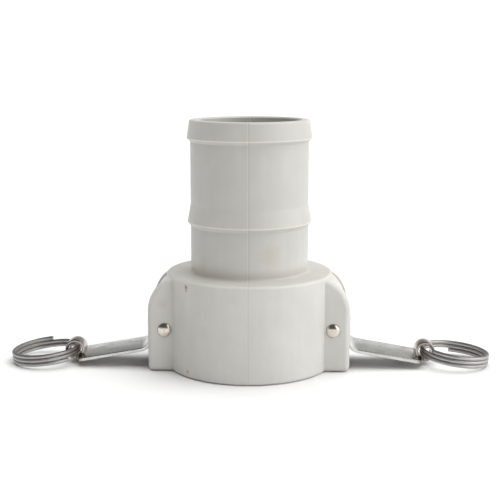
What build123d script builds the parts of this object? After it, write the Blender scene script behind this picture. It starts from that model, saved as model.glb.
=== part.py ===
"""Female camlock coupler with a hose shank, 3 inch (DN 80), moulded polypropylene.

Frame: origin on the socket axis in the mouth plane, +Z up towards the hose end.
The two cam arms lie along +X and -X, drawn in their open position.
"""
import os
from math import cos, radians, sin, tan

from build123d import *

# Socket end of the body (all sizes in millimetres)
BARREL_R = 54.7            # outside of the barrel
BARREL_TOP = 62.8          # height of the shoulder face
MOUTH_ROUND = 1.9          # rounding of the barrel's lower edge
SHOULDER_ROUND = 2.0       # rounding of the barrel's upper edge
SOCKET_R = 46.2            # bore for a 91.5 mm adapter nose
SOCKET_DEPTH = 50.1        # mouth to the gasket face
SOCKET_LEAD = 1.6          # lead-in chamfer at the mouth

# Gasket and its recess
GASKET_R = 47.3
GASKET_BORE_R = 38.1
GASKET_THICK = 6.3
GASKET_ROUND = 0.8
RECESS_R = 47.5
RECESS_TOP = 56.5

# Hose shank
FLOW_R = 33.4              # bore through the shank
SHANK_R = 38.5
SHANK_FOOT_ROUND = 1.8
SHANK_TOP = 162.0
TIP_R = 39.0               # radius at the hose end
TIP_ROUND = 1.2
FLOW_EDGE = 0.8            # chamfer of the bore at the hose end
CREST_ROUND = 0.5          # rounding of a barb's crest
BARBS = (                  # crest height, crest radius, top of its ramp, foot of its bevel
    (96.1, 40.6, 107.6, 93.2),
    (150.1, 40.7, SHANK_TOP, 147.9),
)

# Ears that carry the arms
EAR_X = 65.5               # outermost face of an ear
EAR_OUTER_Y = 24.2         # outer face of an ear
SLOT_HALF = 16.1           # half the gap between two ears
EAR_ARC_R = 23.0           # quarter-round shoulder of an ear
EAR_FOOT_R = 3.6           # lower outside corner of an ear
EAR_EDGE_ROUND = 3.6       # rounding of an ear's rim on its outer face
EAR_INNER_ROUND = 0.8      # rounding of an ear's rim on the slot side
EAR_ROOT_X = 36.0          # how far an ear plate runs into the barrel
HOOD_STEP = 1.3            # how far the hood between two ears lies below their rims
HOOD_ROUND = 1.0           # rounding of its lower edge
HOOD_OVERLAP = 1.0         # how far it runs into each ear
WINDOW_BOTTOM = 17.5       # opening in the barrel wall for the cam
WINDOW_TOP = 46.0
WINDOW_REACH = 6.0         # how far the opening is cut past the wall, each way

# Hinge pins
PIN_X = 54.5
PIN_Z = 27.7
PIN_R = 4.25
PIN_PROUD = 0.5            # straight part of a pin outside the ear
PIN_DOME = 1.3             # height of its domed end
PIN_PLAY = 0.06            # radial clearance in an arm
PIN_SEAT = 0.5             # chamfer round a pin hole on the outer face of an ear

# Cam arms, pressed from one sheet
ARM_W = 31.5
SHEET = 2.5
HANDLE_DROP = 10.0         # degrees below the horizontal when open
HANDLE_X = 72.8            # a point on the handle's upper face
HANDLE_Z = 12.8
WEB_X = 66.3               # outer face of the upright web
ELBOW_R = 7.0              # hollow side of the bend between handle and web
NOSE_TOP = 12.6            # height of the cam nose above the pin
NOSE_R = 5.2               # outside corner of the cam nose
NOSE_INNER = -1.0          # end of the nose plate, measured from the pin
BOSS_R = 7.4               # cheek round the pin hole
CHEEK_HEEL_X = 5.5         # lower end of a cheek, measured from the pin
CHEEK_HEEL_Z = -11.0
CHEEK_CORNER = 3.0         # corner cut off a cheek behind the nose and at its heel

# Rolled eye at the end of a handle
EYE_X = 116.7
EYE_Z = 9.0
EYE_R = 6.6
EYE_WALL = 2.1             # the tongue is a little thinner than the sheet
EYE_START_ANGLE = -100.0   # where the roll leaves the handle, from +X
EYE_END_ANGLE = 210.0      # where the rolled tongue ends, from +X over the top
EYE_TOP_HALF = 5.0         # half width of the tongue at the top of the roll
EYE_FOOT_HALF = 5.8        # half width where it leaves the handle
TAPER_START = 112.5        # the handle narrows to the eye between these two places
TAPER_END = 115.0
TAPER_ROUND = 0.8          # rounding of the two corners of the taper

# Split rings
WIRE_R = 1.28
WIRE_PITCH = 2.62
RING_R = 21.6              # to the middle of the wire
RING_X = 136.8             # middle of a ring
RING_TURNS = 2.64
RING_DROP = 6.3            # degrees, outer end down
RING_START = 90.0          # angle of the lower cut end, from the outer end
RING_LIFT = 0.05           # gap left under the lowest strand

HANDLE_DIR = (cos(radians(HANDLE_DROP)), -sin(radians(HANDLE_DROP)))
HANDLE_INTO_EYE = 0.9      # the handle's sheet ends this far before the eye's middle
OVERCUT = 4.0              # how far a cut runs past the solid it cuts
ON_BASE = (Align.CENTER, Align.CENTER, Align.MIN)


def side_face(lines):
    """Face in the XZ plane from lines drawn as (x, z)."""
    return make_face([edge for line in lines for edge in (Plane.XZ * line).edges()])


def upright(radius, height, bottom=0.0):
    """Cylinder on the socket axis, standing at a given height."""
    return Pos(0, 0, bottom) * Cylinder(radius, height, align=ON_BASE)


def circles(solid):
    """All round edges of a solid."""
    return solid.edges().filter_by(GeomType.CIRCLE)


def circles_at(solid, radius, height):
    """Round edges of one radius about the socket axis at one height."""
    return [edge for edge in circles(solid)
            if abs(edge.radius - radius) < 0.01 and abs(edge.arc_center.Z - height) < 0.01]


def shank_outline():
    """Half section of the hose shank, from its foot inside the shoulder to the tip."""
    points = [(FLOW_R, RECESS_TOP), (SHANK_R, RECESS_TOP)]
    for crest_z, crest_r, ramp_top, bevel_foot in BARBS:
        points.append((SHANK_R, bevel_foot))
        points.append((crest_r, crest_z))
        if ramp_top < SHANK_TOP:
            points.append((SHANK_R, ramp_top))
    points.append((TIP_R, SHANK_TOP))
    points.append((FLOW_R, SHANK_TOP))
    return points


def shank():
    """Hose shank with two ramped barbs and a bore."""
    section = make_face(Plane.XZ * Polyline(*shank_outline(), close=True))
    solid = revolve(section, Axis.Z)
    solid = fillet(circles_at(solid, TIP_R, SHANK_TOP), TIP_ROUND)
    solid = chamfer(circles_at(solid, FLOW_R, SHANK_TOP), FLOW_EDGE)
    for crest_z, crest_r, _ramp_top, _bevel_foot in BARBS:
        solid = fillet(circles_at(solid, crest_r, crest_z), CREST_ROUND)
    return solid


def barrel():
    """Round body with its rounded rims, still without the socket."""
    solid = upright(BARREL_R, BARREL_TOP)
    solid = fillet(circles_at(solid, BARREL_R, 0), MOUTH_ROUND)
    return fillet(circles_at(solid, BARREL_R, BARREL_TOP), SHOULDER_ROUND)


def ear_profile():
    """Side outline of an ear: foot corner, upright edge, quarter-round shoulder."""
    arc_x = EAR_X - EAR_ARC_R
    arc_z = BARREL_TOP - EAR_ARC_R
    foot = CenterArc((EAR_X - EAR_FOOT_R, EAR_FOOT_R), EAR_FOOT_R, -90, 90)
    shoulder = CenterArc((arc_x, arc_z), EAR_ARC_R, 0, 90)
    lines = [
        Line((EAR_ROOT_X, 0), (EAR_X - EAR_FOOT_R, 0)),
        foot,
        Line((EAR_X, EAR_FOOT_R), (EAR_X, arc_z)),
        shoulder,
        Line((arc_x, BARREL_TOP), (EAR_ROOT_X, BARREL_TOP)),
        Line((EAR_ROOT_X, BARREL_TOP), (EAR_ROOT_X, 0)),
    ]
    return side_face(lines)


def ear():
    """One ear plate on the +X, +Y side, rounded along its rim."""
    plate = extrude(ear_profile(), SLOT_HALF - EAR_OUTER_Y)
    plate = Pos(0, SLOT_HALF, 0) * plate

    def rim(at_y):
        return [e for e in plate.edges()
                if abs(e.center().Y - at_y) < 0.01 and e.center().X > EAR_ROOT_X + 1]

    plate = fillet(rim(EAR_OUTER_Y), EAR_EDGE_ROUND)
    return fillet(rim(SLOT_HALF), EAR_INNER_ROUND)


def hood():
    """Wall that closes the slot between two ears above the cam, on the +X side."""
    arc_x = EAR_X - EAR_ARC_R
    width = 2 * (SLOT_HALF + HOOD_OVERLAP)
    outside = Rot(90, 0, 0) * Cylinder(EAR_ARC_R - HOOD_STEP, width)
    above_cam = Pos((arc_x + EAR_X) / 2, 0, (WINDOW_TOP + BARREL_TOP) / 2) * Box(
        EAR_ARC_R, width, BARREL_TOP - WINDOW_TOP)
    wall = (Pos(arc_x, 0, BARREL_TOP - EAR_ARC_R) * outside) & above_cam
    lower_edge = wall.edges().filter_by(Axis.Y).group_by(Axis.Z)[0].sort_by(Axis.X)[-1]
    return fillet(lower_edge, HOOD_ROUND)


def hollow():
    """Space inside the body: lead-in, socket, gasket recess and flow bore."""
    lead = Cone(SOCKET_R + SOCKET_LEAD, SOCKET_R, SOCKET_LEAD, align=ON_BASE)
    socket = upright(SOCKET_R, SOCKET_DEPTH)
    recess = upright(RECESS_R, RECESS_TOP - SOCKET_DEPTH, SOCKET_DEPTH)
    flow = upright(FLOW_R, BARREL_TOP + OVERCUT)
    return lead + socket + recess + flow


def cam_window():
    """Opening through the barrel wall between two ears, on the +X side."""
    length = 2 * (PIN_X - SOCKET_R + WINDOW_REACH)
    middle = (WINDOW_BOTTOM + WINDOW_TOP) / 2
    return Pos(PIN_X, 0, middle) * Box(length, 2 * SLOT_HALF, WINDOW_TOP - WINDOW_BOTTOM)


def pin_bore(radius, width):
    """Cylinder on the hinge line of the +X side that runs past a given width."""
    return Pos(PIN_X, 0, PIN_Z) * Rot(90, 0, 0) * Cylinder(radius, width + OVERCUT)


def pin_seat():
    """Chamfer round the pin hole of one ear, on the +X side."""
    start = Pos(PIN_X, 0, PIN_Z) * Rot(90, 0, 0) * Pos(0, 0, EAR_OUTER_Y - PIN_SEAT)
    return start * Cone(PIN_R, PIN_R + PIN_SEAT, PIN_SEAT, align=ON_BASE)


def coupler_body():
    """Barrel, four ears and hose shank as one moulding, cut by socket, windows and pin holes."""
    one = ear()
    two = one + mirror(one, about=Plane.XZ) + hood()
    collar = shank() - upright(SHANK_R - 1, BARREL_TOP)
    solid = barrel() + two + mirror(two, about=Plane.YZ) + collar
    solid = fillet(circles_at(solid, SHANK_R, BARREL_TOP), SHANK_FOOT_ROUND)
    solid = solid - hollow()
    seat = pin_seat()
    cut = cam_window() + pin_bore(PIN_R, 2 * EAR_OUTER_Y) + seat + mirror(seat, about=Plane.XZ)
    return solid - cut - mirror(cut, about=Plane.YZ)


def gasket():
    """Flat sealing ring in its recess."""
    bottom = RECESS_TOP - GASKET_THICK
    solid = upright(GASKET_R, GASKET_THICK, bottom) - upright(GASKET_BORE_R, GASKET_THICK, bottom)
    return fillet(circles(solid).group_by(Axis.Z)[0], GASKET_ROUND)


def hinge_pin():
    """Pin across both ears with shallow domed ends, on the +X side."""
    half = EAR_OUTER_Y + PIN_PROUD
    dome_r = (PIN_R ** 2 + PIN_DOME ** 2) / (2 * PIN_DOME)
    rod = Cylinder(PIN_R, 2 * (half + PIN_DOME))
    ends = Pos(0, 0, half + PIN_DOME - dome_r) * Sphere(dome_r)
    ends = ends & Pos(0, 0, half + PIN_DOME) * Cylinder(PIN_R + 1, 2 * PIN_DOME)
    middle = Cylinder(PIN_R, 2 * half)
    solid = middle + ((ends + mirror(ends, about=Plane.XY)) & rod)
    return Pos(PIN_X, 0, PIN_Z) * Rot(90, 0, 0) * solid


def handle_point(x, below=0.0):
    """Point on the handle's upper face at x, moved below it square to the sheet."""
    z = HANDLE_Z + (x - HANDLE_X) * HANDLE_DIR[1] / HANDLE_DIR[0]
    return (x + below * HANDLE_DIR[1], z - below * HANDLE_DIR[0])


def sheet_profile():
    """Side outline of the sheet from cam nose to the start of the eye."""
    reach = ELBOW_R * tan(radians((90 - HANDLE_DROP) / 2))
    corner = handle_point(WEB_X)
    web_foot = (WEB_X, corner[1] + reach)
    handle_start = (corner[0] + reach * HANDLE_DIR[0], corner[1] + reach * HANDLE_DIR[1])
    handle_start_low = handle_point(handle_start[0], SHEET)
    top = PIN_Z + NOSE_TOP
    inner_r = NOSE_R - SHEET
    elbow = (WEB_X + ELBOW_R, web_foot[1])
    end_top = handle_point(EYE_X - HANDLE_INTO_EYE)
    end_low = handle_point(EYE_X - HANDLE_INTO_EYE, SHEET)
    lines = [
        Line(end_top, handle_start),
        CenterArc(elbow, ELBOW_R, 180, 90 - HANDLE_DROP),
        Line(web_foot, (WEB_X, top - NOSE_R)),
        CenterArc((WEB_X - NOSE_R, top - NOSE_R), NOSE_R, 0, 90),
        Line((WEB_X - NOSE_R, top), (PIN_X + NOSE_INNER, top)),
        Line((PIN_X + NOSE_INNER, top), (PIN_X + NOSE_INNER, top - SHEET)),
        Line((PIN_X + NOSE_INNER, top - SHEET), (WEB_X - NOSE_R, top - SHEET)),
        CenterArc((WEB_X - NOSE_R, top - NOSE_R), inner_r, 0, 90),
        Line((WEB_X - SHEET, top - NOSE_R), (WEB_X - SHEET, web_foot[1])),
        CenterArc(elbow, ELBOW_R + SHEET, 180, 90 - HANDLE_DROP),
        Line(handle_start_low, end_low),
        Line(end_low, end_top),
    ]
    return side_face(lines)


def cheek_profile():
    """Side outline of a cheek: boss round the pin, flank up to the nose, heel to the elbow."""
    top = PIN_Z + NOSE_TOP - SHEET / 2
    web = WEB_X - SHEET / 2
    corner = handle_point(WEB_X)
    reach = ELBOW_R * tan(radians((90 - HANDLE_DROP) / 2))
    outline = Polyline(
        (PIN_X + NOSE_INNER, top),
        (web - CHEEK_CORNER, top),
        (web, top - CHEEK_CORNER),
        (web, corner[1] + reach),
        (PIN_X + CHEEK_HEEL_X + CHEEK_CORNER, PIN_Z + CHEEK_HEEL_Z),
        (PIN_X + CHEEK_HEEL_X, PIN_Z + CHEEK_HEEL_Z),
        (PIN_X, PIN_Z - BOSS_R),
        (PIN_X - BOSS_R, PIN_Z),
        close=True,
    )
    face = side_face([outline])
    boss = Pos(PIN_X, 0, PIN_Z) * (Plane.XZ * Circle(BOSS_R))
    return face + boss


def eye_profile():
    """Side outline of the rolled tongue, an open ring."""
    turn = EYE_END_ANGLE - EYE_START_ANGLE
    outer = CenterArc((EYE_X, EYE_Z), EYE_R, EYE_START_ANGLE, turn)
    inner = CenterArc((EYE_X, EYE_Z), EYE_R - EYE_WALL, EYE_START_ANGLE, turn)
    lines = [outer, inner, Line(outer @ 0, inner @ 0), Line(outer @ 1, inner @ 1)]
    return side_face(lines)


def centred(face, width):
    """Extrude a face in the XZ plane to both sides of it."""
    return extrude(face, width / 2, both=True)


def eye_trim():
    """Room that the rolled tongue keeps to: wide at its foot, narrow at its top."""
    top = EYE_Z + EYE_R
    foot = EYE_Z - EYE_R + EYE_WALL
    side = Polyline(
        (-EYE_FOOT_HALF, 0),
        (EYE_FOOT_HALF, 0),
        (EYE_FOOT_HALF, foot),
        (EYE_TOP_HALF, top),
        (-EYE_TOP_HALF, top),
        (-EYE_FOOT_HALF, foot),
        close=True)
    prism = extrude(make_face(Plane.YZ * side), 4 * EYE_R)
    return Pos(EYE_X - 2 * EYE_R, 0, 0) * prism


def handle_trim():
    """The two corners cut off the handle where it narrows to the eye."""
    end = EYE_X + EYE_R
    corner = FilletPolyline(
        (TAPER_START, ARM_W),
        (TAPER_START, ARM_W / 2),
        (TAPER_END, EYE_FOOT_HALF),
        (end, EYE_FOOT_HALF),
        (end, ARM_W),
        radius=TAPER_ROUND, close=True)
    prism = extrude(make_face(corner), 2 * PIN_Z)
    return prism + mirror(prism, about=Plane.XZ)


def cam_arm():
    """Pressed arm on the +X side: nose plate, web, cheeks, handle and rolled eye."""
    solid = centred(sheet_profile(), ARM_W) - handle_trim()
    cheek = centred(cheek_profile(), ARM_W) - centred(cheek_profile(), ARM_W - 2 * SHEET)
    solid = solid + cheek
    solid = solid + (centred(eye_profile(), ARM_W) & eye_trim())
    return solid - pin_bore(PIN_R + PIN_PLAY, ARM_W)


def pull_ring(flipped=False):
    """Split ring of round wire on the +X side, outer end down, turned over if flipped."""
    height = WIRE_PITCH * RING_TURNS
    path = Helix(WIRE_PITCH, height, RING_R, lefthand=True)
    section = Plane(origin=path @ 0, z_dir=path % 0)
    wire = sweep(section * Circle(WIRE_R), path, is_frenet=True)
    wire = Rot(0, 0, RING_START) * Pos(0, 0, -height / 2) * wire
    if flipped:
        wire = Rot(180, 0, 0) * wire
    wire = Pos(RING_X, 0, 0) * Rot(0, RING_DROP, 0) * wire
    return Pos(0, 0, RING_LIFT - wire.bounding_box().min.Z) * wire


def main():
    """Build every piece once and write one STEP file for each node."""
    os.makedirs("parts", exist_ok=True)
    turned = Rot(0, 0, 180)
    arm = cam_arm()
    pin = hinge_pin()
    nodes = {
        "coupler_body": coupler_body(),
        "gasket": gasket(),
        "right_cam_arm": arm,
        "left_cam_arm": turned * arm,
        "right_hinge_pin": pin,
        "left_hinge_pin": turned * pin,
        "right_pull_ring": pull_ring(),
        "left_pull_ring": turned * pull_ring(flipped=True),
    }
    for name, shape in nodes.items():
        export_step(shape, f"parts/{name}.step")


main()
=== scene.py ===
"""Female camlock coupler with a hose shank: finishes, softened metalwork, studio and camera.

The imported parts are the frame. The moulding, gasket, pins and pull rings keep their own
meshes and get their finishes here. The two cam arms are rebuilt with rolled sheet edges.
All lengths are in metres unless a name ends in _mm.
"""

import logging
import math
from dataclasses import dataclass
from enum import Enum
from typing import Any

import bmesh
import bpy
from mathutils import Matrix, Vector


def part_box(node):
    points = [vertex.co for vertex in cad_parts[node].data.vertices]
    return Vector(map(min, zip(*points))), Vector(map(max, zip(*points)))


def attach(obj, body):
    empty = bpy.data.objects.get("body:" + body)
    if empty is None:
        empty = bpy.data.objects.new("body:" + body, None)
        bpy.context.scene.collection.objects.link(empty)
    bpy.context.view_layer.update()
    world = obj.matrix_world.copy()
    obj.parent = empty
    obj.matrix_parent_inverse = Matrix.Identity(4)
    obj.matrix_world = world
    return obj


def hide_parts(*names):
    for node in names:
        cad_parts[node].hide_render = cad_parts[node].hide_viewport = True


MM = 0.001                     # metres in a millimetre

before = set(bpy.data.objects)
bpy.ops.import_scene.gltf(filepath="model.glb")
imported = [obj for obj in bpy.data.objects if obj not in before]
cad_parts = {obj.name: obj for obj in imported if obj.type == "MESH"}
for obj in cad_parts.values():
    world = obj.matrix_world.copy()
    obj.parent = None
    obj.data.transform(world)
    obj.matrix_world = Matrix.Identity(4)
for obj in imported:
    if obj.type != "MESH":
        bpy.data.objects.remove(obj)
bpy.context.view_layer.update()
log = logging.getLogger("camlock")


class Side(Enum):
    """The two sides that carry an arm, with their direction along X."""

    RIGHT = 1
    LEFT = -1

    @property
    def label(self) -> str:
        """Name of the side as the parts use it."""
        return self.name.lower()


# Centre of the small punch mark on each handle, in mm
PUNCH_MARKS = {Side.RIGHT: (87.5, 1.8, 10.2), Side.LEFT: (-81.0, 5.7, 11.35)}


def linear(hex_colour: str) -> tuple[float, float, float, float]:
    """Turn an sRGB hex value into a linear colour.

    Args:
        hex_colour: A value such as "#cfccc5".

    Returns:
        Red, green, blue and an alpha of one.
    """
    channels = [int(hex_colour[i:i + 2], 16) / 255 for i in (1, 3, 5)]
    values = [c / 12.92 if c <= 0.04045 else ((c + 0.055) / 1.055) ** 2.4 for c in channels]
    return (values[0], values[1], values[2], 1.0)


def add_node(
    tree: bpy.types.NodeTree,
    kind: str,
    values: dict[Any, Any] | None = None,
    links: dict[Any, bpy.types.NodeSocket] | None = None,
    **settings: Any,
) -> bpy.types.Node:
    """Add one shader node with its settings, socket values and links.

    Args:
        tree: The node tree that gets the node.
        kind: Blender's name for the node type.
        values: Constants by input name or number.
        links: Output sockets that feed an input, by input name or number.
        **settings: Properties of the node itself.

    Returns:
        The new node.
    """
    node = tree.nodes.new(kind)
    for name, value in settings.items():
        setattr(node, name, value)
    for socket, value in (values or {}).items():
        node.inputs[socket].default_value = value
    for socket, source in (links or {}).items():
        tree.links.new(source, node.inputs[socket])
    return node


def blank_material(name: str) -> tuple[bpy.types.Material, bpy.types.NodeTree, bpy.types.Node]:
    """Start a material with an empty node tree and one Principled shader.

    Args:
        name: The material's name.

    Returns:
        The material, its tree and its Principled node.
    """
    material = bpy.data.materials.new(name)
    material.use_nodes = True
    tree = material.node_tree
    tree.nodes.clear()
    shader = add_node(tree, "ShaderNodeBsdfPrincipled")
    add_node(tree, "ShaderNodeOutputMaterial", links={"Surface": shader.outputs["BSDF"]})
    return material, tree, shader


def dress(obj: bpy.types.Object, material: bpy.types.Material) -> None:
    """Give every slot of an object the same material."""
    if not obj.material_slots:
        obj.data.materials.append(material)
    for slot in obj.material_slots:
        slot.material = material


@dataclass(frozen=True)
class Stain:
    """A mark on the moulding: its centre in mm, radius in mm, strength and colour."""

    centre_mm: tuple[float, float, float]
    radius_mm: float
    strength: float
    tint: str = "#9a8b74"


@dataclass(frozen=True)
class MouldedPolypropylene:
    """Injection-moulded polypropylene, unpainted pale warm grey.

    The mould's spark-eroded skin gives a satin surface with soft, wide highlights. The two
    mould halves meet in a parting line on the front and back.
    """

    name: str = "moulded_polypropylene"
    tone: str = "#cac9c4"
    # Darker tone, used for the random mottle and for the painted shade up the shank.
    tone_dark: str = "#b9b8b3"
    # Pale colour of the painted highlights on the parting line's ridge and on the barbs' crest edges.
    wear_and_highlight: str = "#e2dfd5"
    # Dark colour of the painted shadow beside the parting line, and of the painted shade with dust at
    # the shank's foot.
    shade_and_grime: str = "#8c8272"
    roughness: float = 0.43
    ior: float = 1.49
    grain_mm: float = 1.5      # the real skin is about 0.1 mm, drawn coarser so that it shows
    cloud_mm: float = 22.0
    streak_mm: float = 5.0
    sink_mm: float = 30.0
    seam_mm: float = 0.42
    seam_ridge_mm: float = -0.35
    seam_groove_mm: float = 0.5
    # Strength of the painted highlight on the ridge and of the painted shadow line beside it.
    ridge_highlight_share: float = 0.20
    groove_shadow_share: float = 0.22
    crests_mm: tuple[tuple[float, float], ...] = ((96.1, 40.6), (150.1, 40.7))  # height, radius
    # Width of the painted highlight along each crest edge.
    crest_highlight_mm: float = 0.6
    crest_highlight_share: float = 0.55
    shoulder_mm: float = 62.0
    shank_foot_mm: float = 63.4
    # Painted shade with dust in the crease at the shank's foot.
    shade_dust_full_mm: float = 69.0
    shade_dust_end_mm: float = 76.0
    shade_dust_ragged_mm: float = 9.0
    shade_dust_share: float = 0.25
    # Painted shade: from here up, the shank is drawn darker than the barrel.
    shank_shade_from_mm: float = 63.0
    shank_shade_to_mm: float = 85.0
    stains: tuple[Stain, ...] = (
        Stain((-38.9, -38.4, 59.2), 2.1, 1.0, "#8f6038"),
        Stain((-38.9, -38.4, 56.9), 1.5, 0.75, "#8f6038"),
        Stain((-38.5, -38.8, 4.1), 1.9, 0.75, "#9c7a50"),
        Stain((-55.1, -24.2, 44.3), 5.0, 0.20),
        Stain((-29.4, -25.0, 70.0), 9.0, 0.16),
        Stain((14.0, -35.9, 78.0), 10.0, 0.18),
        Stain((-26.5, -47.8, 32.8), 6.0, 0.07),
        Stain((-9.3, -53.9, 54.7), 5.0, 0.07),
    )

    def build(self) -> bpy.types.Material:
        """Make the material.

        Returns:
            The finished material.
        """
        material, tree, shader = blank_material(self.name)
        place = add_node(tree, "ShaderNodeTexCoord").outputs["Object"]
        clouds = add_node(
            tree, "ShaderNodeTexNoise",
            {"Scale": 1 / (self.cloud_mm * MM), "Detail": 5.0, "Roughness": 0.6}, {"Vector": place})
        flow = add_node(
            tree, "ShaderNodeMapping", {"Scale": (1.0, 1.0, 0.12)}, {"Vector": place})
        streaks = add_node(
            tree, "ShaderNodeTexNoise",
            {"Scale": 1 / (self.streak_mm * MM), "Detail": 3.0}, {"Vector": flow.outputs[0]})
        blotch = add_node(
            tree, "ShaderNodeMath", {1: 0.45},
            {0: streaks.outputs["Fac"], 2: clouds.outputs["Fac"]}, operation="MULTIPLY_ADD")
        mottle = add_node(
            tree, "ShaderNodeMapRange", {"From Min": 0.5, "From Max": 0.95, "To Max": 0.45},
            {"Value": blotch.outputs[0]})
        # The random mottle plus painted shade that darkens the shank above the shoulder.
        mottle_and_shank_shade = add_node(
            tree, "ShaderNodeMath", links={0: mottle.outputs[0], 1: self.shank_shade(tree, place)},
            operation="ADD", use_clamp=True)
        colour = add_node(
            tree, "ShaderNodeMix", {"A": linear(self.tone), "B": linear(self.tone_dark)},
            {"Factor": mottle_and_shank_shade.outputs[0]}, data_type="RGBA").outputs["Result"]
        # Parting line: its ridge gets a bump and a pale painted highlight, and beside it runs a dark
        # painted shadow line.
        ridge = self.seam(tree, place, self.seam_ridge_mm)
        colour = self.cover(tree, colour, ridge, self.wear_and_highlight, self.ridge_highlight_share)
        groove_shadow = self.seam(tree, place, self.seam_groove_mm)
        colour = self.cover(tree, colour, groove_shadow, self.shade_and_grime, self.groove_shadow_share)
        # Pale painted highlight along each barb's crest edge.
        for height_mm, radius_mm in self.crests_mm:
            edge_highlight = self.crest_highlight(tree, place, height_mm, radius_mm)
            colour = self.cover(tree, colour, edge_highlight, self.wear_and_highlight, self.crest_highlight_share)
        # Painted crease shade with dust at the foot of the shank.
        foot_shade_and_dust = self.foot_shade_and_dust(tree, place, clouds.outputs["Fac"])
        colour = self.cover(tree, colour, foot_shade_and_dust, self.shade_and_grime, self.shade_dust_share)
        for stain in self.stains:
            colour = self.spot(tree, place, colour, stain)
        tree.links.new(colour, shader.inputs["Base Color"])
        gloss = add_node(
            tree, "ShaderNodeMapRange",
            {"To Min": self.roughness - 0.06, "To Max": self.roughness + 0.08},
            {"Value": clouds.outputs["Fac"]})
        tree.links.new(gloss.outputs[0], shader.inputs["Roughness"])
        shader.inputs["IOR"].default_value = self.ior
        tree.links.new(self.relief(tree, place, ridge), shader.inputs["Normal"])
        return material

    def shank_shade(self, tree: bpy.types.NodeTree, place: bpy.types.NodeSocket) -> bpy.types.NodeSocket:
        """Mask of painted shade on the shank, which is drawn darker than the barrel because it gets less
        light.

        Args:
            tree: The material's tree.
            place: Object coordinates.

        Returns:
            The mask's socket.
        """
        split = add_node(tree, "ShaderNodeSeparateXYZ", links={0: place})
        mask = add_node(
            tree, "ShaderNodeMapRange",
            {"From Min": self.shank_shade_from_mm * MM, "From Max": self.shank_shade_to_mm * MM, "To Max": 0.7},
            {"Value": split.outputs["Z"]}, interpolation_type="SMOOTHSTEP")
        return mask.outputs[0]

    def seam(
        self, tree: bpy.types.NodeTree, place: bpy.types.NodeSocket, beside_mm: float
    ) -> bpy.types.NodeSocket:
        """Mask of one side of the parting line, one on the line and nought beside it.

        Args:
            tree: The material's tree.
            place: Object coordinates.
            beside_mm: How far this side lies from the middle plane.

        Returns:
            The mask's socket.
        """
        split = add_node(tree, "ShaderNodeSeparateXYZ", links={0: place})
        return self.band(tree, split.outputs["X"], beside_mm, self.seam_mm)

    def band(
        self, tree: bpy.types.NodeTree, value: bpy.types.NodeSocket, middle_mm: float, half_mm: float
    ) -> bpy.types.NodeSocket:
        """Mask of the places where a length is close to its middle value.

        Args:
            tree: The material's tree.
            value: The length, in metres.
            middle_mm: Where the mask is one.
            half_mm: How far from there it has fallen to nought.

        Returns:
            The mask's socket.
        """
        offset = add_node(
            tree, "ShaderNodeMath", {1: middle_mm * MM}, {0: value}, operation="SUBTRACT")
        away = add_node(tree, "ShaderNodeMath", links={0: offset.outputs[0]}, operation="ABSOLUTE")
        mask = add_node(
            tree, "ShaderNodeMapRange",
            {"From Min": 0.4 * half_mm * MM, "From Max": half_mm * MM, "To Min": 1.0, "To Max": 0.0},
            {"Value": away.outputs[0]}, interpolation_type="SMOOTHSTEP")
        return mask.outputs[0]

    def crest_highlight(
        self, tree: bpy.types.NodeTree, place: bpy.types.NodeSocket, height_mm: float, radius_mm: float
    ) -> bpy.types.NodeSocket:
        """Mask of a barb's crest edge, which gets a pale painted highlight.

        Args:
            tree: The material's tree.
            place: Object coordinates.
            height_mm: Height of the crest.
            radius_mm: Its radius.

        Returns:
            The mask's socket.
        """
        split = add_node(tree, "ShaderNodeSeparateXYZ", links={0: place})
        flat = add_node(
            tree, "ShaderNodeVectorMath", {1: (1.0, 1.0, 0.0)}, {0: place}, operation="MULTIPLY")
        radius = add_node(tree, "ShaderNodeVectorMath", links={0: flat.outputs[0]}, operation="LENGTH")
        level = self.band(tree, split.outputs["Z"], height_mm, self.crest_highlight_mm)
        rim = self.band(tree, radius.outputs["Value"], radius_mm, self.crest_highlight_mm)
        both = add_node(tree, "ShaderNodeMath", links={0: level, 1: rim}, operation="MULTIPLY")
        return both.outputs[0]

    def foot_shade_and_dust(
        self, tree: bpy.types.NodeTree, place: bpy.types.NodeSocket, noise: bpy.types.NodeSocket
    ) -> bpy.types.NodeSocket:
        """Mask of painted shade with dust in the crease at the foot of the shank, just above the
        shoulder.

        Args:
            tree: The material's tree.
            place: Object coordinates.
            noise: A cloudy value that breaks the edge up.

        Returns:
            The mask's socket.
        """
        split = add_node(tree, "ShaderNodeSeparateXYZ", links={0: place})
        ragged = add_node(
            tree, "ShaderNodeMath", {1: self.shade_dust_ragged_mm * MM},
            {0: noise, 2: split.outputs["Z"]}, operation="MULTIPLY_ADD")
        rise = add_node(
            tree, "ShaderNodeMapRange",
            {"From Min": self.shade_dust_full_mm * MM, "From Max": self.shade_dust_end_mm * MM,
             "To Min": 1.0, "To Max": 0.0},
            {"Value": ragged.outputs[0]}, interpolation_type="SMOOTHSTEP")
        above = add_node(
            tree, "ShaderNodeMapRange",
            {"From Min": self.shoulder_mm * MM, "From Max": self.shank_foot_mm * MM},
            {"Value": split.outputs["Z"]}, interpolation_type="SMOOTHSTEP")
        both = add_node(
            tree, "ShaderNodeMath", links={0: rise.outputs[0], 1: above.outputs[0]},
            operation="MULTIPLY")
        return both.outputs[0]

    def cover(
        self, tree: bpy.types.NodeTree, colour: bpy.types.NodeSocket, mask: bpy.types.NodeSocket,
        tint: str, amount: float,
    ) -> bpy.types.NodeSocket:
        """Lay a tint over part of the surface.

        Args:
            tree: The material's tree.
            colour: The colour so far.
            mask: Where the tint lies.
            tint: Its hex value.
            amount: How strong it is.

        Returns:
            The new colour's socket.
        """
        share = add_node(tree, "ShaderNodeMath", {1: amount}, {0: mask}, operation="MULTIPLY")
        mix = add_node(
            tree, "ShaderNodeMix", {"B": linear(tint)},
            {"Factor": share.outputs[0], "A": colour}, data_type="RGBA")
        return mix.outputs["Result"]

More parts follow.
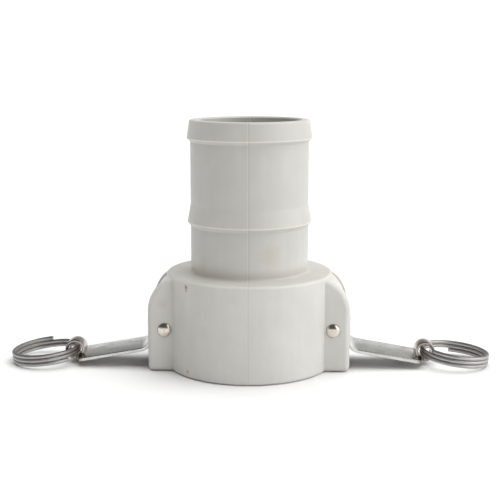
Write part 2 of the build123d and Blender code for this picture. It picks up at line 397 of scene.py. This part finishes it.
    def spot(
        self, tree: bpy.types.NodeTree, place: bpy.types.NodeSocket, colour: bpy.types.NodeSocket,
        stain: Stain,
    ) -> bpy.types.NodeSocket:
        """Lay one mark over the colour.

        Args:
            tree: The material's tree.
            place: Object coordinates.
            colour: The colour so far.
            stain: The mark's place and strength.

        Returns:
            The new colour's socket.
        """
        centre = tuple(value * MM for value in stain.centre_mm)
        distance = add_node(
            tree, "ShaderNodeVectorMath", {1: centre}, {0: place}, operation="DISTANCE")
        edge = add_node(
            tree, "ShaderNodeTexNoise", {"Scale": 1 / (stain.radius_mm * MM), "Detail": 4.0},
            {"Vector": place})
        ragged = add_node(
            tree, "ShaderNodeMath", {1: stain.radius_mm * MM},
            {0: edge.outputs["Fac"], 2: distance.outputs["Value"]}, operation="MULTIPLY_ADD")
        mask = add_node(
            tree, "ShaderNodeMapRange",
            {"From Min": 0.45 * stain.radius_mm * MM, "From Max": 1.5 * stain.radius_mm * MM,
             "To Min": stain.strength, "To Max": 0.0},
            {"Value": ragged.outputs[0]}, interpolation_type="SMOOTHSTEP")
        mix = add_node(
            tree, "ShaderNodeMix", {"B": linear(stain.tint)},
            {"Factor": mask.outputs[0], "A": colour}, data_type="RGBA")
        return mix.outputs["Result"]

    def relief(
        self, tree: bpy.types.NodeTree, place: bpy.types.NodeSocket, seam: bpy.types.NodeSocket
    ) -> bpy.types.NodeSocket:
        """Bump of the skin, the sink waves and the raised parting line.

        Args:
            tree: The material's tree.
            place: Object coordinates.
            seam: Mask of the parting line.

        Returns:
            The normal's socket.
        """
        sink = add_node(
            tree, "ShaderNodeTexNoise", {"Scale": 1 / (self.sink_mm * MM), "Detail": 1.0},
            {"Vector": place})
        grain = add_node(
            tree, "ShaderNodeTexNoise", {"Scale": 1 / (self.grain_mm * MM), "Detail": 3.0},
            {"Vector": place})
        waves = add_node(
            tree, "ShaderNodeBump", {"Strength": 0.5, "Distance": 0.35 * MM},
            {"Height": sink.outputs["Fac"]})
        skin = add_node(
            tree, "ShaderNodeBump", {"Strength": 0.35, "Distance": 0.06 * MM},
            {"Height": grain.outputs["Fac"], "Normal": waves.outputs[0]})
        line = add_node(
            tree, "ShaderNodeBump", {"Strength": 0.8, "Distance": 0.12 * MM},
            {"Height": seam, "Normal": skin.outputs[0]})
        return line.outputs[0]


@dataclass(frozen=True)
class PressedStainless:
    """Stainless sheet, pressed and tumbled.

    Cold-rolled sheet has fine lines along its length and a soft mirror sheen. The rolled eye
    is smoother from being drawn round its former, and its colour is painted darker and a
    little browner as painted shade for the dark room that it reflects.
    """

    side: Side
    punch_mm: tuple[float, float, float]
    tone: str = "#cfcfcc"
    # Darker, browner colour for the random smudges and for the painted shade on the rolled eye.
    tarnish_and_shade: str = "#a0988f"
    roughness: float = 0.24
    line_mm: float = 0.9       # real rolling lines are about 0.05 mm, drawn coarser to show
    smudge_mm: float = 9.0
    eye_from_mm: float = 109.0
    eye_to_mm: float = 112.0
    eye_polish: float = 0.45   # share of the roughness that the eye loses
    punch_r_mm: float = 1.5

    def build(self) -> bpy.types.Material:
        """Make the material.

        Returns:
            The finished material.
        """
        material, tree, shader = blank_material(f"pressed_stainless_sheet_{self.side.label}")
        place = add_node(tree, "ShaderNodeTexCoord").outputs["Object"]
        along = add_node(tree, "ShaderNodeMapping", {"Scale": (0.06, 1.0, 1.0)}, {"Vector": place})
        lines = add_node(
            tree, "ShaderNodeTexNoise", {"Scale": 1 / (self.line_mm * MM), "Detail": 4.0},
            {"Vector": along.outputs[0]})
        smudge = add_node(
            tree, "ShaderNodeTexNoise", {"Scale": 1 / (self.smudge_mm * MM), "Detail": 5.0},
            {"Vector": place})
        split = add_node(tree, "ShaderNodeSeparateXYZ", links={0: place})
        reach = add_node(tree, "ShaderNodeMath", links={0: split.outputs["X"]}, operation="ABSOLUTE")
        # Mask of the rolled eye: it makes the eye smoother and colours it with painted shade.
        drawn = add_node(
            tree, "ShaderNodeMapRange",
            {"From Min": self.eye_from_mm * MM, "From Max": self.eye_to_mm * MM},
            {"Value": reach.outputs[0]}, interpolation_type="SMOOTHSTEP")
        dull = add_node(
            tree, "ShaderNodeMapRange", {"From Min": 0.45, "From Max": 0.8, "To Max": 0.35},
            {"Value": smudge.outputs["Fac"]})
        # Random smudges together with the painted shade on the eye.
        smudge_and_eye_shade = add_node(
            tree, "ShaderNodeMath", links={0: drawn.outputs[0], 1: dull.outputs[0]},
            operation="MAXIMUM")
        colour = add_node(
            tree, "ShaderNodeMix", {"A": linear(self.tone), "B": linear(self.tarnish_and_shade)},
            {"Factor": smudge_and_eye_shade.outputs[0]}, data_type="RGBA")
        tree.links.new(colour.outputs["Result"], shader.inputs["Base Color"])
        wear_and_highlight = add_node(
            tree, "ShaderNodeMath", {1: 0.5}, {0: lines.outputs["Fac"], 2: smudge.outputs["Fac"]},
            operation="MULTIPLY_ADD")
        gloss = add_node(
            tree, "ShaderNodeMapRange",
            {"From Min": 0.45, "From Max": 1.05, "To Min": self.roughness - 0.07,
             "To Max": self.roughness + 0.12},
            {"Value": wear_and_highlight.outputs[0]})
        polished = add_node(
            tree, "ShaderNodeMath", {1: -self.roughness * self.eye_polish},
            {0: drawn.outputs[0], 2: gloss.outputs[0]}, operation="MULTIPLY_ADD")
        tree.links.new(polished.outputs[0], shader.inputs["Roughness"])
        shader.inputs["Metallic"].default_value = 1.0
        tree.links.new(self.relief(tree, place, lines, smudge), shader.inputs["Normal"])
        return material

    def relief(
        self, tree: bpy.types.NodeTree, place: bpy.types.NodeSocket, lines: bpy.types.Node,
        smudge: bpy.types.Node,
    ) -> bpy.types.NodeSocket:
        """Bump of the rolling lines, the sheet's unevenness and a small punch mark.

        Args:
            tree: The material's tree.
            place: Object coordinates.
            lines: Noise of the rolling lines.
            smudge: Noise of the unevenness.

        Returns:
            The normal's socket.
        """
        centre = tuple(value * MM for value in self.punch_mm)
        distance = add_node(
            tree, "ShaderNodeVectorMath", {1: centre}, {0: place}, operation="DISTANCE")
        dent = add_node(
            tree, "ShaderNodeMapRange",
            {"From Min": 0.3 * self.punch_r_mm * MM, "From Max": self.punch_r_mm * MM},
            {"Value": distance.outputs["Value"]}, interpolation_type="SMOOTHSTEP")
        uneven = add_node(
            tree, "ShaderNodeBump", {"Strength": 0.5, "Distance": 0.12 * MM},
            {"Height": smudge.outputs["Fac"]})
        rolled = add_node(
            tree, "ShaderNodeBump", {"Strength": 0.4, "Distance": 0.012 * MM},
            {"Height": lines.outputs["Fac"], "Normal": uneven.outputs[0]})
        punched = add_node(
            tree, "ShaderNodeBump", {"Strength": 0.8, "Distance": 0.4 * MM},
            {"Height": dent.outputs[0], "Normal": rolled.outputs[0]})
        return punched.outputs[0]


@dataclass(frozen=True)
class DrawnWire:
    """Spring-hard stainless wire, drawn through a die.

    Drawing leaves fine lines round the coil and a grey, half-bright surface.
    """

    side: Side
    centre_mm: tuple[float, float, float]
    tone: str = "#bcbab8"
    soot: str = "#75716e"
    roughness: float = 0.5
    line_mm: float = 0.35      # real die lines are finer, drawn coarser so that they show
    run_mm: float = 12.0
    radian_mm: float = 21.0    # wire in one radian of the coil

    def build(self) -> bpy.types.Material:
        """Make the material.

        Returns:
            The finished material.
        """
        material, tree, shader = blank_material(f"drawn_stainless_wire_{self.side.label}")
        place = add_node(tree, "ShaderNodeTexCoord").outputs["Object"]
        offset = tuple(-value * MM for value in self.centre_mm)
        middle = add_node(tree, "ShaderNodeMapping", {"Location": offset}, {"Vector": place})
        split = add_node(tree, "ShaderNodeSeparateXYZ", links={0: middle.outputs[0]})
        angle = add_node(
            tree, "ShaderNodeMath", links={0: split.outputs["Y"], 1: split.outputs["X"]},
            operation="ARCTAN2")
        radius = add_node(
            tree, "ShaderNodeVectorMath", {1: (1.0, 1.0, 0.0)}, {0: middle.outputs[0]},
            operation="MULTIPLY")
        radius = add_node(tree, "ShaderNodeVectorMath", links={0: radius.outputs[0]}, operation="LENGTH")
        run = add_node(
            tree, "ShaderNodeMath", {1: self.radian_mm * MM * self.line_mm / self.run_mm},
            {0: angle.outputs[0]}, operation="MULTIPLY")
        unrolled = add_node(
            tree, "ShaderNodeCombineXYZ", links={
                "X": run.outputs[0], "Y": radius.outputs["Value"], "Z": split.outputs["Z"]})
        lines = add_node(
            tree, "ShaderNodeTexNoise", {"Scale": 1 / (self.line_mm * MM), "Detail": 3.0},
            {"Vector": unrolled.outputs[0]})
        tint = add_node(
            tree, "ShaderNodeMapRange", {"From Min": 0.42, "From Max": 0.75, "To Max": 0.5},
            {"Value": lines.outputs["Fac"]})
        colour = add_node(
            tree, "ShaderNodeMix", {"A": linear(self.tone), "B": linear(self.soot)},
            {"Factor": tint.outputs[0]}, data_type="RGBA")
        tree.links.new(colour.outputs["Result"], shader.inputs["Base Color"])
        gloss = add_node(
            tree, "ShaderNodeMapRange",
            {"To Min": self.roughness - 0.1, "To Max": self.roughness + 0.12},
            {"Value": lines.outputs["Fac"]})
        tree.links.new(gloss.outputs[0], shader.inputs["Roughness"])
        shader.inputs["Metallic"].default_value = 1.0
        bump = add_node(
            tree, "ShaderNodeBump", {"Strength": 0.35, "Distance": 0.03 * MM},
            {"Height": lines.outputs["Fac"]})
        tree.links.new(bump.outputs[0], shader.inputs["Normal"])
        return material


@dataclass(frozen=True)
class TurnedPin:
    """Stainless rod with faced, slightly domed ends.

    Facing leaves very fine rings about the pin's axis, so the dome stays nearly a mirror.
    """

    side: Side
    axis_mm: tuple[float, float] = (54.5, 27.7)
    tone: str = "#d6cfc4"
    soot: str = "#7d746a"
    roughness: float = 0.16
    ring_mm: float = 0.55      # real facing rings are finer, drawn coarser so that they show
    smudge_mm: float = 2.5

    def build(self) -> bpy.types.Material:
        """Make the material.

        Returns:
            The finished material.
        """
        material, tree, shader = blank_material(f"turned_stainless_pin_{self.side.label}")
        place = add_node(tree, "ShaderNodeTexCoord").outputs["Object"]
        offset = (-self.side.value * self.axis_mm[0] * MM, 0.0, -self.axis_mm[1] * MM)
        middle = add_node(tree, "ShaderNodeMapping", {"Location": offset}, {"Vector": place})
        flat = add_node(
            tree, "ShaderNodeVectorMath", {1: (1.0, 0.0, 1.0)}, {0: middle.outputs[0]},
            operation="MULTIPLY")
        radius = add_node(tree, "ShaderNodeVectorMath", links={0: flat.outputs[0]}, operation="LENGTH")
        rings = add_node(
            tree, "ShaderNodeTexNoise", {"Scale": 1 / (self.ring_mm * MM), "Detail": 3.0},
            {"W": radius.outputs["Value"]}, noise_dimensions="1D")
        smudge = add_node(
            tree, "ShaderNodeTexNoise", {"Scale": 1 / (self.smudge_mm * MM), "Detail": 4.0},
            {"Vector": place})
        tint = add_node(
            tree, "ShaderNodeMapRange", {"From Min": 0.5, "From Max": 0.85, "To Max": 0.45},
            {"Value": smudge.outputs["Fac"]})
        colour = add_node(
            tree, "ShaderNodeMix", {"A": linear(self.tone), "B": linear(self.soot)},
            {"Factor": tint.outputs[0]}, data_type="RGBA")
        tree.links.new(colour.outputs["Result"], shader.inputs["Base Color"])
        gloss = add_node(
            tree, "ShaderNodeMapRange",
            {"To Min": self.roughness - 0.05, "To Max": self.roughness + 0.15},
            {"Value": smudge.outputs["Fac"]})
        tree.links.new(gloss.outputs[0], shader.inputs["Roughness"])
        shader.inputs["Metallic"].default_value = 1.0
        bump = add_node(
            tree, "ShaderNodeBump", {"Strength": 0.1, "Distance": 0.01 * MM},
            {"Height": rings.outputs["Fac"]})
        tree.links.new(bump.outputs[0], shader.inputs["Normal"])
        return material


@dataclass(frozen=True)
class NitrileRubber:
    """Moulded black nitrile rubber, matt, with a faint grey bloom."""

    name: str = "nitrile_rubber"
    tone: str = "#1d1c1b"
    bloom: str = "#3b3a38"
    roughness: float = 0.58
    ior: float = 1.52
    bloom_mm: float = 7.0
    grain_mm: float = 0.8      # the real skin is finer, drawn coarser so that it shows

    def build(self) -> bpy.types.Material:
        """Make the material.

        Returns:
            The finished material.
        """
        material, tree, shader = blank_material(self.name)
        place = add_node(tree, "ShaderNodeTexCoord").outputs["Object"]
        clouds = add_node(
            tree, "ShaderNodeTexNoise", {"Scale": 1 / (self.bloom_mm * MM), "Detail": 5.0},
            {"Vector": place})
        grain = add_node(
            tree, "ShaderNodeTexNoise", {"Scale": 1 / (self.grain_mm * MM), "Detail": 2.0},
            {"Vector": place})
        mask = add_node(
            tree, "ShaderNodeMapRange", {"From Min": 0.45, "From Max": 0.8},
            {"Value": clouds.outputs["Fac"]})
        colour = add_node(
            tree, "ShaderNodeMix", {"A": linear(self.tone), "B": linear(self.bloom)},
            {"Factor": mask.outputs[0]}, data_type="RGBA")
        tree.links.new(colour.outputs["Result"], shader.inputs["Base Color"])
        gloss = add_node(
            tree, "ShaderNodeMapRange",
            {"To Min": self.roughness - 0.08, "To Max": self.roughness + 0.12},
            {"Value": clouds.outputs["Fac"]})
        tree.links.new(gloss.outputs[0], shader.inputs["Roughness"])
        shader.inputs["IOR"].default_value = self.ior
        bump = add_node(
            tree, "ShaderNodeBump", {"Strength": 0.4, "Distance": 0.05 * MM},
            {"Height": grain.outputs["Fac"]})
        tree.links.new(bump.outputs[0], shader.inputs["Normal"])
        return material


@dataclass
class CouplerBody:
    """The moulding and the gasket in its recess."""

    moulding: str = "coupler_body"
    seal: str = "gasket"

    def build(self) -> list[bpy.types.Object]:
        """Dress the moulding and the gasket.

        Returns:
            The dressed parts.
        """
        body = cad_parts[self.moulding]
        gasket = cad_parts[self.seal]
        dress(body, MouldedPolypropylene().build())
        dress(gasket, NitrileRubber().build())
        return [body, gasket]


@dataclass
class HingePin:
    """One hinge pin."""

    side: Side

    def build(self) -> list[bpy.types.Object]:
        """Dress the pin.

        Returns:
            The dressed part, in a list.
        """
        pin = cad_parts[f"{self.side.label}_hinge_pin"]
        dress(pin, TurnedPin(self.side).build())
        return [pin]


@dataclass
class CamArm:
    """One pressed cam arm, rebuilt from its part with the sheet's edges rolled over."""

    side: Side
    punch_mm: tuple[float, float, float]
    edge_mm: float = 0.6
    edge_steps: int = 4
    weld_mm: float = 0.02
    flat_deg: float = 0.4
    sharp_deg: float = 40.0
    smooth_deg: float = 32.0

    def build(self) -> list[bpy.types.Object]:
        """Make the softened arm and put it in its part's place.

        Returns:
            The new arm, in a list.
        """
        node = f"{self.side.label}_cam_arm"
        form = bmesh.new()
        form.from_mesh(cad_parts[node].data)
        bmesh.ops.remove_doubles(form, verts=form.verts, dist=self.weld_mm * MM)
        bmesh.ops.dissolve_limit(
            form, angle_limit=math.radians(self.flat_deg), verts=form.verts, edges=form.edges)
        self.roll_edges(form)
        bmesh.ops.recalc_face_normals(form, faces=form.faces)
        for face in form.faces:
            face.smooth = True
        mesh = bpy.data.meshes.new(f"{node}_pressed")
        form.to_mesh(mesh)
        form.free()
        mesh.set_sharp_from_angle(angle=math.radians(self.smooth_deg))
        arm = bpy.data.objects.new(f"{node}_pressed", mesh)
        bpy.context.scene.collection.objects.link(arm)
        dress(arm, PressedStainless(self.side, self.punch_mm).build())
        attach(arm, f"{self.side.label}_arm")
        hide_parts(node)
        return [arm]

    def roll_edges(self, form: bmesh.types.BMesh) -> None:
        """Round the sheared edges of the sheet.

        Args:
            form: The arm's mesh, with its doubles merged.
        """
        limit = math.radians(self.sharp_deg)
        sharp = [edge for edge in form.edges if edge.is_manifold and edge.calc_face_angle() > limit]
        bmesh.ops.bevel(
            form, geom=sharp, offset=self.edge_mm * MM, offset_type="OFFSET",
            segments=self.edge_steps, profile=0.5, affect="EDGES", material=-1,
            clamp_overlap=False)


@dataclass
class PullRing:
    """One split ring of round wire."""

    side: Side

    def build(self) -> list[bpy.types.Object]:
        """Dress the ring.

        Returns:
            The dressed part, in a list.
        """
        name = f"{self.side.label}_pull_ring"
        low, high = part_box(name)
        centre = tuple((a + b) / 2 / MM for a, b in zip(low, high))
        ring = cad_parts[name]
        dress(ring, DrawnWire(self.side, centre).build())
        return [ring]


@dataclass
class Studio:
    """Pale floor, soft lights and the camera."""

    floor_m: float = 14.0
    floor_below_mm: float = 0.2
    floor_tone: str = "#e6e6e6"
    fibres_per_m: float = 180.0
    horizon: str = "#ffffff"
    wall_left: str = "#969694"
    wall_right: str = "#cbcbc9"
    room_dark: str = "#545250"
    ceiling: str = "#5e5c5a"
    room_strength: float = 1.03
    camera_at: tuple[float, float, float] = (0.0178, -0.6795, 0.1997)
    camera_turn_deg: tuple[float, float, float] = (79.70, 0.0, 1.5)
    lens_mm: float = 75.35
    sensor_mm: float = 36.0
    shift_x: float = 0.0009

    def build(self) -> None:
        """Make the floor, world, lights and camera."""
        self.floor()
        self.sky()
        self.soft_light("key_light", azimuth_deg=72.0, height_deg=30.0, spread_deg=70.0, power=2.0)
        overhead = self.soft_light(
            "overhead_light", azimuth_deg=160.0, height_deg=78.0, spread_deg=80.0, power=3.2)
        overhead.visible_glossy = False    # keeps the dark lines along the steel's rolled edges
        self.camera()

    def floor(self) -> None:
        """Lay a plain pale floor a hair under the coupler."""
        form = bmesh.new()
        bmesh.ops.create_circle(form, cap_ends=True, radius=self.floor_m / 2, segments=96)
        mesh = bpy.data.meshes.new("studio_floor")
        form.to_mesh(mesh)
        form.free()
        floor = bpy.data.objects.new("studio_floor", mesh)
        floor.location.z = -self.floor_below_mm * MM
        bpy.context.scene.collection.objects.link(floor)
        material, tree, shader = blank_material("matt_studio_paper")
        place = add_node(tree, "ShaderNodeTexCoord").outputs["Object"]
        fibre = add_node(
            tree, "ShaderNodeTexNoise", {"Scale": self.fibres_per_m, "Detail": 3.0},
            {"Vector": place})
        bump = add_node(
            tree, "ShaderNodeBump", {"Strength": 0.05, "Distance": 0.1 * MM},
            {"Height": fibre.outputs["Fac"]})
        tree.links.new(bump.outputs[0], shader.inputs["Normal"])
        shader.inputs["Base Color"].default_value = linear(self.floor_tone)
        shader.inputs["Roughness"].default_value = 0.9
        dress(floor, material)

    def sky(self) -> None:
        """Light the room: white at the horizon, a pale wall behind, dim overhead and in front."""
        world = bpy.data.worlds.new("soft_studio")
        bpy.context.scene.world = world
        world.use_nodes = True
        tree = world.node_tree
        tree.nodes.clear()
        place = add_node(tree, "ShaderNodeTexCoord").outputs["Generated"]
        split = add_node(tree, "ShaderNodeSeparateXYZ", links={0: place})
        behind = add_node(
            tree, "ShaderNodeMapRange", {"From Min": -0.2, "From Max": 0.35},
            {"Value": split.outputs["Y"]}, interpolation_type="SMOOTHSTEP")
        rightwards = add_node(
            tree, "ShaderNodeMapRange", {"From Min": -0.5, "From Max": 0.5},
            {"Value": split.outputs["X"]}, interpolation_type="SMOOTHSTEP")
        wall = add_node(
            tree, "ShaderNodeMix", {"A": linear(self.wall_left), "B": linear(self.wall_right)},
            {"Factor": rightwards.outputs[0]}, data_type="RGBA")
        upper = add_node(
            tree, "ShaderNodeMix", {"A": linear(self.room_dark)},
            {"Factor": behind.outputs[0], "B": wall.outputs["Result"]}, data_type="RGBA")
        height = add_node(
            tree, "ShaderNodeMapRange", {"From Min": 0.06, "From Max": 0.26},
            {"Value": split.outputs["Z"]}, interpolation_type="SMOOTHSTEP")
        steep = add_node(
            tree, "ShaderNodeMapRange", {"From Min": 0.45, "From Max": 0.75},
            {"Value": split.outputs["Z"]}, interpolation_type="SMOOTHSTEP")
        room = add_node(
            tree, "ShaderNodeMix", {"B": linear(self.ceiling)},
            {"Factor": steep.outputs[0], "A": upper.outputs["Result"]}, data_type="RGBA")
        colour = add_node(
            tree, "ShaderNodeMix", {"A": linear(self.horizon)},
            {"Factor": height.outputs[0], "B": room.outputs["Result"]}, data_type="RGBA")
        light = add_node(
            tree, "ShaderNodeBackground", {"Strength": self.room_strength},
            {"Color": colour.outputs["Result"]})
        add_node(tree, "ShaderNodeOutputWorld", links={"Surface": light.outputs[0]})

    def soft_light(
        self, name: str, azimuth_deg: float, height_deg: float, spread_deg: float, power: float
    ) -> bpy.types.Object:
        """Set up one distant soft light.

        Args:
            name: The light's name.
            azimuth_deg: Where it stands, from straight in front towards the right.
            height_deg: Its height above the floor.
            spread_deg: How wide it looks from the coupler.
            power: Its strength in watts per square metre.

        Returns:
            The light.
        """
        lamp = bpy.data.lights.new(name, "SUN")
        lamp.angle = math.radians(spread_deg)
        lamp.energy = power
        light = bpy.data.objects.new(name, lamp)
        tilt = math.radians(90.0 - height_deg)
        light.rotation_euler = (tilt, 0.0, math.radians(azimuth_deg))
        bpy.context.scene.collection.objects.link(light)
        return light

    def camera(self) -> None:
        """Place the camera slightly above the coupler, in front of it."""
        data = bpy.data.cameras.new("studio_camera")
        data.lens = self.lens_mm
        data.sensor_width = self.sensor_mm
        data.shift_x = self.shift_x
        data.clip_start = 0.01
        data.clip_end = 50.0
        camera = bpy.data.objects.new("studio_camera", data)
        camera.location = self.camera_at
        camera.rotation_euler = tuple(math.radians(value) for value in self.camera_turn_deg)
        bpy.context.scene.collection.objects.link(camera)
        bpy.context.scene.camera = camera


def main() -> None:
    """Build every sub-assembly in order, then the studio."""
    logging.basicConfig(level=logging.INFO, format="%(name)s: %(message)s")
    assemblies: list[Any] = [CouplerBody()]
    for side in Side:
        assemblies += [HingePin(side), CamArm(side, PUNCH_MARKS[side]), PullRing(side)]
    for assembly in assemblies:
        for piece in assembly.build():
            log.info("%s: %d faces", piece.name, len(piece.data.polygons))
    Studio().build()
    bpy.context.scene.view_settings.view_transform = "Standard"


if __name__ == "__main__":
    main()
